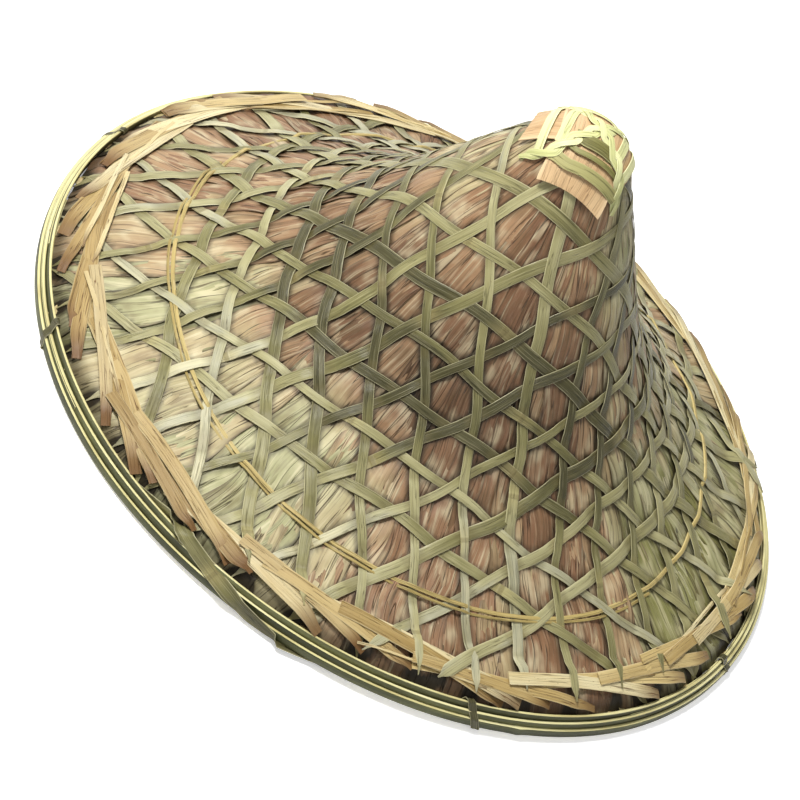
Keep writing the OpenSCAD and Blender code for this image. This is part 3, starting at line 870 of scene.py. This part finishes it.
def cap():
    """Two flat sheaths crossed over the point. Their ends stand away from the crown at the corners."""
    sheaths = (("side", SIDE, 1.3, 15.5, 1.4), ("front", FRONT, 1.9, 19.5, 3.2))
    for name, degrees, base, half, flared in sheaths:
        sheaf = Sheaf()
        way = np.linspace(-30, 39, 60)[:, None] + np.zeros((1, 25))
        share = np.linspace(-1, 1, 25)[None, :] + np.zeros((60, 1))
        beside = share * (half + flared * smooth(8, 38, way))
        way = way + 0.08 * beside * (way > 0)
        s, turn = on_cap(way, beside, degrees)
        flare = share ** 2 * smooth(16, 42, way)
        lift = base + 0.12 * np.sin(beside * TAU / 5.1) + 0.8 * smooth(25, 40, way) + flared * flare
        grid = hat.place(s, turn, lift)
        sheaf.sheet(grid, 0.5, along=way, across=beside, edge=np.abs(share), tone=0.4)
        covered = f"cap_sheath_{name}"
        sheaf.piece(f"{covered}_leaf", TAN, replaces=[covered], slot="cap_sheath", crease=60)
    sheaf = Sheaf()
    for way, width, tone in ((26.0, 6.6, 0.75), (18.0, 3.0, 0.2), (11.0, 8.0, 0.1)):
        across_cap(sheaf, FRONT, way, width, 2.2 + 0.05 * way, tone)
    sheaf.piece("cap_band_strip", OLIVE, replaces=["cap_band"], slot="cap_band")
    cap_lacing()


def across_cap(sheaf, degrees, way, width, lift, tone):
    """A strip straight across one side of the cap, bulging a little at its middle."""
    beside = np.linspace(-way * 0.68 - 3, way * 0.85 + 4, 50)
    way = way - 0.15 * way * smooth(-0.3 * way, beside[0], beside)
    s, turn = on_cap(way, beside, degrees)
    bulge = 0.6 * np.cos(beside / beside[-1] * math.pi / 2) - 0.5 * smooth(-0.3 * way, beside[0], beside)
    lay_strip(sheaf, s, turn, lift + bulge, width, 0.6, tone)


def cap_lacing():
    """Ribbons across the cap's other sides, and a folded pair along each of its diagonals."""
    sheaf = Sheaf()
    for degrees, base in ((SIDE, 1.9), (SIDE + 180, 1.8), (FRONT + 180, 2.1)):
        for number, way in enumerate((25.5, 15.5)):
            across_cap(sheaf, degrees, way, 5.7, base, 0.75 - 0.15 * number)
    for number, (degrees, bend, bend_from) in enumerate(((-121, -17, 26), (-36, 5, 2))):
        way = np.linspace(-46, 46, 230)
        for strand in range(2):
            swing = np.arcsin(0.97 * np.sin(way * math.pi / 11 + strand * math.pi)) / 1.35
            over = np.cos(way * math.pi / 11) * (1 if strand else -1)
            s, turn = on_cap(way, 2.1 * swing + 0.6, degrees)
            turn = turn + math.radians(bend) * smooth(bend_from, bend_from + 20, way)
            lift = 3.1 + 0.6 * over + 1.1 * number * np.exp(-(way / 8) ** 2)
            lift = lift - 0.9 * smooth(0, -12, way) + 1.3 * np.exp(-((way - 23) / 9) ** 2)
            lift = lift - 1.3 * smooth(36, 46, np.abs(way))
            width = 3.9 * (1 - 0.35 * smooth(34, 46, np.abs(way)))
            tint, dirt = -0.25 * smooth(24, 46, way), 0.15 * smooth(26, 46, way)
            lay_strip(sheaf, s, turn, lift, width, 0.5, 0.45 + 0.2 * strand, tint, dirt)
    sheaf.piece("cap_lacing_strips", LACE, replaces=["cap_lacing"], slot="lacing")


# ---------------------------------------------------------------- head ring and chin cord
def head_gear():
    """The CAD's ring and pegs with a bamboo material, and the lashings and cord as new pieces."""
    plain = plain_bamboo_paint()
    for name in ("head_ring", "cord_peg_left", "cord_peg_right"):
        materials = frame["nodes"][name].data.materials
        materials.clear()
        materials.append(plain)
    ring_lashings()
    chin_cord()


def plain_bamboo_paint():
    """Smooth bamboo for the CAD solids that stay: streaks around the axis, from the point's own place."""
    paint = Paint("ring_bamboo_plain")
    place = paint.node("ShaderNodeTexCoord").outputs["Object"]
    split = paint.node("ShaderNodeSeparateXYZ", Vector=place)
    turn = paint.math("ARCTAN2", split.outputs["Y"], split.outputs["X"])
    around = paint.math("MULTIPLY", turn, 3.0)
    height = paint.math("MULTIPLY", split.outputs["Z"], 900.0)
    fibre = paint.noise(paint.vector(around, 0.0, height), detail=4.0)
    colour = paint.ramp(fibre, [(0.25, "#9c7f4c"), (0.5, "#c8ad74"), (0.75, "#dbc792")])
    return paint.finish(colour, 0.45, fibre, 0.3)


def ring_lashings():
    """Each lashing is three turns of a narrow strip around the ring's lip."""
    sheaf = Sheaf()
    low, high = foot_of("ring_lashings"), top_of("ring_lashings")
    lip_r = top_of("head_ring").x
    for number in range(LASHING_COUNT):
        middle = TAU / LASHING_COUNT * (number + 0.5)
        for pass_number in range(3):
            q = np.linspace(0, TAU, 40)
            r = lip_r - 2.9 + 3.4 * np.cos(q)
            z = (low.z + high.z) / 2 + 3.6 * np.sin(q)
            turn = middle + (pass_number - 1) * 0.022 + 0.008 * np.sin(q)
            path = np.stack([r * np.cos(turn), r * np.sin(turn), z], -1)
            around = np.stack([-np.sin(turn), np.cos(turn), 0 * turn], -1)
            sheaf.ribbon(path, around, 1.9, 0.6, tone=0.2 + 0.2 * pass_number)
    sheaf.piece("ring_lashing_strips", LACE, replaces=["ring_lashings"], slot="lacing", uneven=False)


def chin_cord():
    """A braided cord: two eyes around the pegs, two legs and a bow."""
    sheaf = Sheaf()
    joint = frame["joints"][0]
    pivot = np.array(joint["pos_m"]) / MM
    low, high = foot_of("chin_cord"), top_of("chin_cord")
    radius, leg_start = 2.0, 4.4
    eye_radius, eye_bend = 1.7, 4.35
    x = high.x - radius
    tip = np.array([0, low.y + radius, low.z + radius])
    reach = np.linalg.norm(tip - pivot)
    down = (tip - pivot) / reach
    leg = reach - x
    side = np.array([1.0, 0, 0])
    out = np.linspace(leg_start, leg, 60)[:, None]
    bow = np.linspace(0, math.pi, 90)[:, None]
    right = pivot + side * x + down * out
    middle = pivot + down * (leg + x * np.sin(bow)) + side * x * np.cos(bow)
    left = (pivot - side * x + down * out)[::-1]
    sheaf.cord(np.concatenate([right, middle[1:-1], left]), radius, tone=0.3)
    lift = np.cross(side, down)
    for sign in (-1, 1):
        around = np.linspace(0, TAU, 40)[:, None]
        eye = pivot + side * x * sign + (down * np.cos(around) + lift * np.sin(around)) * eye_bend
        sheaf.cord(eye, eye_radius, tone=0.3)
    sheaf.piece("chin_cord_braid", CORD, body="chin_cord", replaces=["chin_cord"], slot="cord", crease=80,
                uneven=False)


# ---------------------------------------------------------------- stage
def studio():
    """A pale floor and soft light from above and the left."""
    size = 6.0
    mesh = bpy.data.meshes.new("floor")
    corners = [(-size, -size, 0), (size, -size, 0), (size, size, 0), (-size, size, 0)]
    mesh.from_pydata(corners, [], [(0, 1, 2, 3)])
    floor = bpy.data.objects.new("floor", mesh)
    bpy.context.scene.collection.objects.link(floor)
    paint = Paint("floor")
    paint.feed(paint.shader.inputs["Base Color"], (0.9, 0.9, 0.9, 1))
    paint.feed(paint.shader.inputs["Roughness"], 0.95)
    paint.feed(paint.shader.inputs["Emission Color"], (1, 1, 1, 1))
    seen = paint.node("ShaderNodeLightPath").outputs["Is Camera Ray"]
    paint.feed(paint.shader.inputs["Emission Strength"], paint.math("MULTIPLY", seen, 0.45))
    mesh.materials.append(paint.material)
    world = bpy.data.worlds.new("studio")
    bpy.context.scene.world = world
    world.use_nodes = True
    world.node_tree.nodes["Background"].inputs["Color"].default_value = (1, 1, 1, 1)
    world.node_tree.nodes["Background"].inputs["Strength"].default_value = 0.23
    soft_light("key", (-0.8, -0.4, 1.7), 0.45, 41)
    soft_light("sheen", (-1.0, 1.7, 1.2), 1.2, 21)
    soft_light("fill", (1.2, -1.2, 1.5), 1.4, 9)
    bpy.context.scene.view_settings.view_transform = "Standard"


def soft_light(name, place, size, power):
    light = bpy.data.lights.new(name, "AREA")
    light.size = size
    light.energy = power
    lamp = bpy.data.objects.new(name, light)
    lamp.location = place
    lamp.rotation_euler = (Vector((0, 0, 0.05)) - lamp.location).to_track_quat("-Z", "Y").to_euler()
    bpy.context.scene.collection.objects.link(lamp)


def camera():
    """Seen from the front and above, with the hat leaning to the right in the picture."""
    elevation, roll, distance = math.radians(40.05), math.radians(-35.9), 2.5
    target = Vector((0, 0, 0.015))
    back = Vector((0, -math.cos(elevation), math.sin(elevation)))
    flat_up = Vector((0, math.sin(elevation), math.cos(elevation)))
    right = Vector((1, 0, 0)) * math.cos(roll) - flat_up * math.sin(roll)
    up = Vector((1, 0, 0)) * math.sin(roll) + flat_up * math.cos(roll)
    data = bpy.data.cameras.new("camera")
    data.lens = 203.0
    data.shift_x, data.shift_y = -0.0251, -0.0126
    eye = bpy.data.objects.new("camera", data)
    turned = Matrix((right, up, back)).transposed().to_4x4()
    turned.translation = target + back * distance
    eye.matrix_world = turned
    bpy.context.scene.collection.objects.link(eye)
    bpy.context.scene.camera = eye


outer_weave()
inner_weave()
leaves()
brim_hoop()
brim_bands()
rim_hoops()
rim_wraps()
cap()
head_gear()
studio()
camera()
